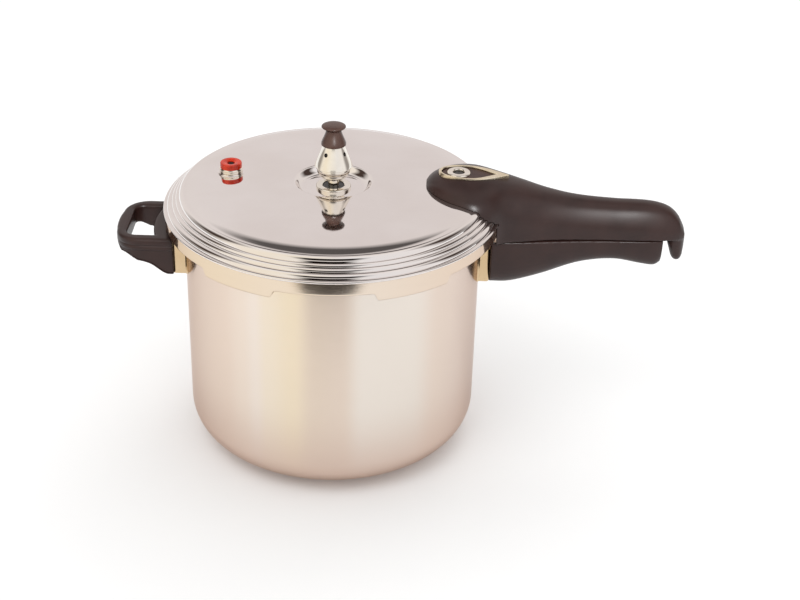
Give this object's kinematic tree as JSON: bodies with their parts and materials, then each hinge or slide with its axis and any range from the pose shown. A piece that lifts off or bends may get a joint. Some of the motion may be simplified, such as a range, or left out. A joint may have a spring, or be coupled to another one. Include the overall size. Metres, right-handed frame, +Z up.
{
  "type": "stove-top pressure cooker",
  "caption": "Pressure cooker with a bayonet lid, paired long handles with a hanging hook, a looped helper handle, a weighted vent, a locking pin and a sprung safety valve.",
  "frame": {"origin": "middle of the flat base, on the worktop", "axes": "+Z up along the axis of the pot, +X along the long handles"},
  "size_m": [0.4613, 0.272, 0.2754],
  "materials": {
    "pot_steel": "satin polished",
    "lid_steel": "satin polished",
    "base_steel": "satin",
    "bracket_steel": "polished sheet",
    "fixing_steel": "plain",
    "bright_chrome": "polished",
    "handle_phenolic": "satin moulded",
    "inlay_black": "gloss",
    "knob_black": "gloss moulded",
    "valve_orange": "gloss moulded",
    "stem_dark": "dull",
    "pin_dark": "satin",
    "seal_rubber": "matt",
    "rack_aluminium": "satin",
    "base_aluminium": "plain"
  },
  "bodies": {
    "pot": {"pot_shell": "pot_steel", "base_cap": "base_steel", "base_core": "base_aluminium", "pot_handle_bracket": "bracket_steel", "pot_handle": "handle_phenolic", "pot_handle_screw": "fixing_steel", "helper_bracket": "bracket_steel", "helper_handle": "handle_phenolic", "helper_screws": "fixing_steel"},
    "rack": {"steam_rack": "rack_aluminium"},
    "seal": {"sealing_ring": "seal_rubber"},
    "lid": {"lid_shell": "lid_steel", "lid_handle": "handle_phenolic", "lid_handle_bracket": "bracket_steel", "lid_handle_screws": "fixing_steel", "inlay_trim": "bright_chrome", "inlay_panel": "inlay_black", "indicator_bezel": "bright_chrome", "vent_pipe": "bright_chrome", "vent_washer": "seal_rubber", "vent_nut": "fixing_steel", "strainer_cap": "fixing_steel", "valve_body": "bright_chrome", "valve_cap": "valve_orange", "valve_washer": "seal_rubber", "valve_nut": "fixing_steel", "valve_spring": "fixing_steel"},
    "weight": {"weight_bowl": "bright_chrome", "weight_bell": "bright_chrome", "weight_needle": "fixing_steel", "weight_knob": "knob_black"},
    "lock_pin": {"lock_pin": "pin_dark", "lock_pin_seal": "seal_rubber", "lock_pin_clip": "fixing_steel"},
    "valve_stem": {"valve_stem": "stem_dark", "stem_seal": "seal_rubber"}
  },
  "joints": [
    {"name": "lid_lift", "type": "slide", "parent": "pot", "child": "seal", "axis": [0, 0, 1], "range_m": [0, 0.15]},
    {"name": "lid_turn", "type": "hinge", "parent": "seal", "child": "lid", "pos_m": [0, 0, 0.2], "axis": [0, 0, 1], "range_deg": [0, 30]},
    {"name": "weight_lift", "type": "slide", "parent": "lid", "child": "weight", "axis": [0, 0, 1], "range_m": [0, 0.035]},
    {"name": "lock_pin_rise", "type": "slide", "parent": "lid", "child": "lock_pin", "axis": [0, 0, 1], "range_m": [0, 0.004]},
    {"name": "valve_pop", "type": "slide", "parent": "lid", "child": "valve_stem", "axis": [0, 0, 1], "range_m": [0, 0.0025], "stiffness_N_per_m": 800, "springref_m": -0.004, "deforming": ["valve_spring"]},
    {"name": "rack_lift", "type": "slide", "parent": "pot", "child": "rack", "axis": [0, 0, 1], "range_m": [0, 0.15]}
  ]
}
